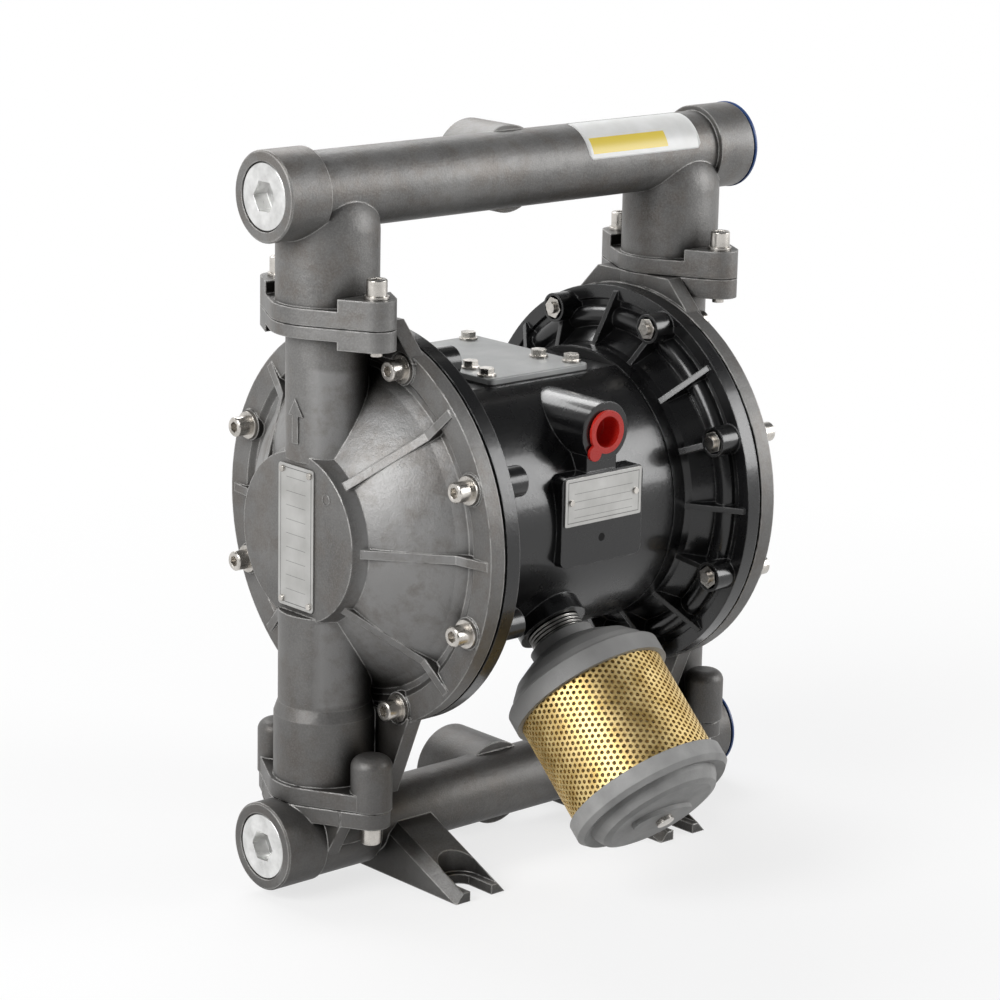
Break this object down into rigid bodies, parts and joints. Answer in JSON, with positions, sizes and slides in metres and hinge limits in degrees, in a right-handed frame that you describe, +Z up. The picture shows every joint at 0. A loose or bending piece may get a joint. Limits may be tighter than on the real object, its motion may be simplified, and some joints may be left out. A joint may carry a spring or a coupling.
{
  "type": "air operated diaphragm pump",
  "caption": "Air-driven diaphragm pump with ribbed round chambers either side of a centre air valve, ball-valve manifolds, slotted feet and a slanted exhaust muffler.",
  "frame": {"origin": "on the floor plane, at the centre of the four foot slots", "axes": "+X along the diaphragm shaft towards the capped ports, -Y to the front with the air inlet and muffler, +Z up"},
  "size_m": [0.3079, 0.2592, 0.3693],
  "materials": {
    "cast_aluminium": "blasted casting, warm dark grey",
    "black_paint": "glossy black paint",
    "valve_plate": "matte light grey plate",
    "stainless": "plain stainless steel",
    "zinc_plug": "bright zinc plating",
    "rubber_black": "black moulded rubber",
    "seat_plastic": "white engineering plastic",
    "bronze": "bronze bush",
    "muffler_mesh": "perforated sheet, brass colour",
    "muffler_plastic": "grey moulded plastic",
    "red_plastic": "soft red plastic",
    "blue_plastic": "dark blue plastic",
    "label_metal": "satin plate"
  },
  "bodies": {
    "pump": {"centre_housing": "black_paint", "front_name_plate": "label_metal", "housing_gaskets": "rubber_black", "housing_screws": "stainless", "inlet_left_seat": "seat_plastic", "inlet_manifold": "cast_aluminium", "inlet_manifold_bolts": "stainless", "inlet_right_seat": "seat_plastic", "left_air_cover": "black_paint", "left_diaphragm": "rubber_black", "left_fluid_cover": "cast_aluminium", "left_rim_bolts": "stainless", "left_rim_nuts": "stainless", "left_rim_washers": "stainless", "lower_port_plug": "zinc_plug", "manifold_washers": "stainless", "muffler_bottom_cap": "muffler_plastic", "muffler_core": "muffler_plastic", "muffler_nipple": "stainless", "muffler_sleeve": "muffler_mesh", "muffler_tie_screw": "stainless", "muffler_top_cap": "muffler_plastic", "name_plate_rivets": "stainless", "outlet_left_seat": "seat_plastic", "outlet_manifold": "cast_aluminium", "outlet_manifold_bolts": "stainless", "outlet_right_seat": "seat_plastic", "right_air_cover": "black_paint", "right_diaphragm": "rubber_black", "right_fluid_cover": "cast_aluminium", "right_rim_bolts": "stainless", "right_rim_nuts": "stainless", "right_rim_washers": "stainless", "shaft_bushes": "bronze", "shaft_seals": "rubber_black", "side_name_plate": "label_metal", "upper_port_plug": "zinc_plug", "valve_cover": "valve_plate", "valve_cover_screws": "stainless", "valve_gasket": "rubber_black", "valve_sleeve": "stainless"},
    "shaft_group": {"shaft": "stainless", "left_inner_plate": "stainless", "right_inner_plate": "stainless", "left_outer_plate": "stainless", "right_outer_plate": "stainless", "left_clamp_screw": "stainless", "right_clamp_screw": "stainless"},
    "spool": {"valve_spool": "seat_plastic"},
    "left_pilot": {"left_pilot_pin": "stainless"},
    "right_pilot": {"right_pilot_pin": "stainless"},
    "upper_cap": {"upper_port_cap": "blue_plastic"},
    "lower_cap": {"lower_port_cap": "blue_plastic"},
    "air_cap": {"air_inlet_cap": "red_plastic"},
    "inlet_left_valve": {"inlet_left_ball": "rubber_black"},
    "inlet_right_valve": {"inlet_right_ball": "rubber_black"},
    "outlet_left_valve": {"outlet_left_ball": "rubber_black"},
    "outlet_right_valve": {"outlet_right_ball": "rubber_black"}
  },
  "joints": [
    {"name": "shaft_slide", "type": "slide", "parent": "pump", "child": "shaft_group", "axis": [1, 0, 0], "range_m": [-0.011, 0.011], "deforming": ["left_diaphragm", "right_diaphragm"]},
    {"name": "spool_slide", "type": "slide", "parent": "pump", "child": "spool", "axis": [1, 0, 0], "range_m": [-0.007, 0.007]},
    {"name": "left_pilot_push", "type": "slide", "parent": "pump", "child": "left_pilot", "axis": [1, 0, 0], "range_m": [0, 0.008]},
    {"name": "right_pilot_push", "type": "slide", "parent": "pump", "child": "right_pilot", "axis": [-1, 0, 0], "range_m": [0, 0.008]},
    {"name": "upper_cap_pull", "type": "slide", "parent": "pump", "child": "upper_cap", "axis": [1, 0, 0], "range_m": [0, 0.015]},
    {"name": "lower_cap_pull", "type": "slide", "parent": "pump", "child": "lower_cap", "axis": [1, 0, 0], "range_m": [0, 0.015]},
    {"name": "air_cap_pull", "type": "slide", "parent": "pump", "child": "air_cap", "axis": [0, -1, 0], "range_m": [0, 0.015]},
    {"name": "inlet_left_ball_lift", "type": "slide", "parent": "pump", "child": "inlet_left_valve", "axis": [0, 0, 1], "range_m": [0, 0.007]},
    {"name": "inlet_right_ball_lift", "type": "slide", "parent": "pump", "child": "inlet_right_valve", "axis": [0, 0, 1], "range_m": [0, 0.007]},
    {"name": "outlet_left_ball_lift", "type": "slide", "parent": "pump", "child": "outlet_left_valve", "axis": [0, 0, 1], "range_m": [0, 0.007]},
    {"name": "outlet_right_ball_lift", "type": "slide", "parent": "pump", "child": "outlet_right_valve", "axis": [0, 0, 1], "range_m": [0, 0.007]}
  ]
}
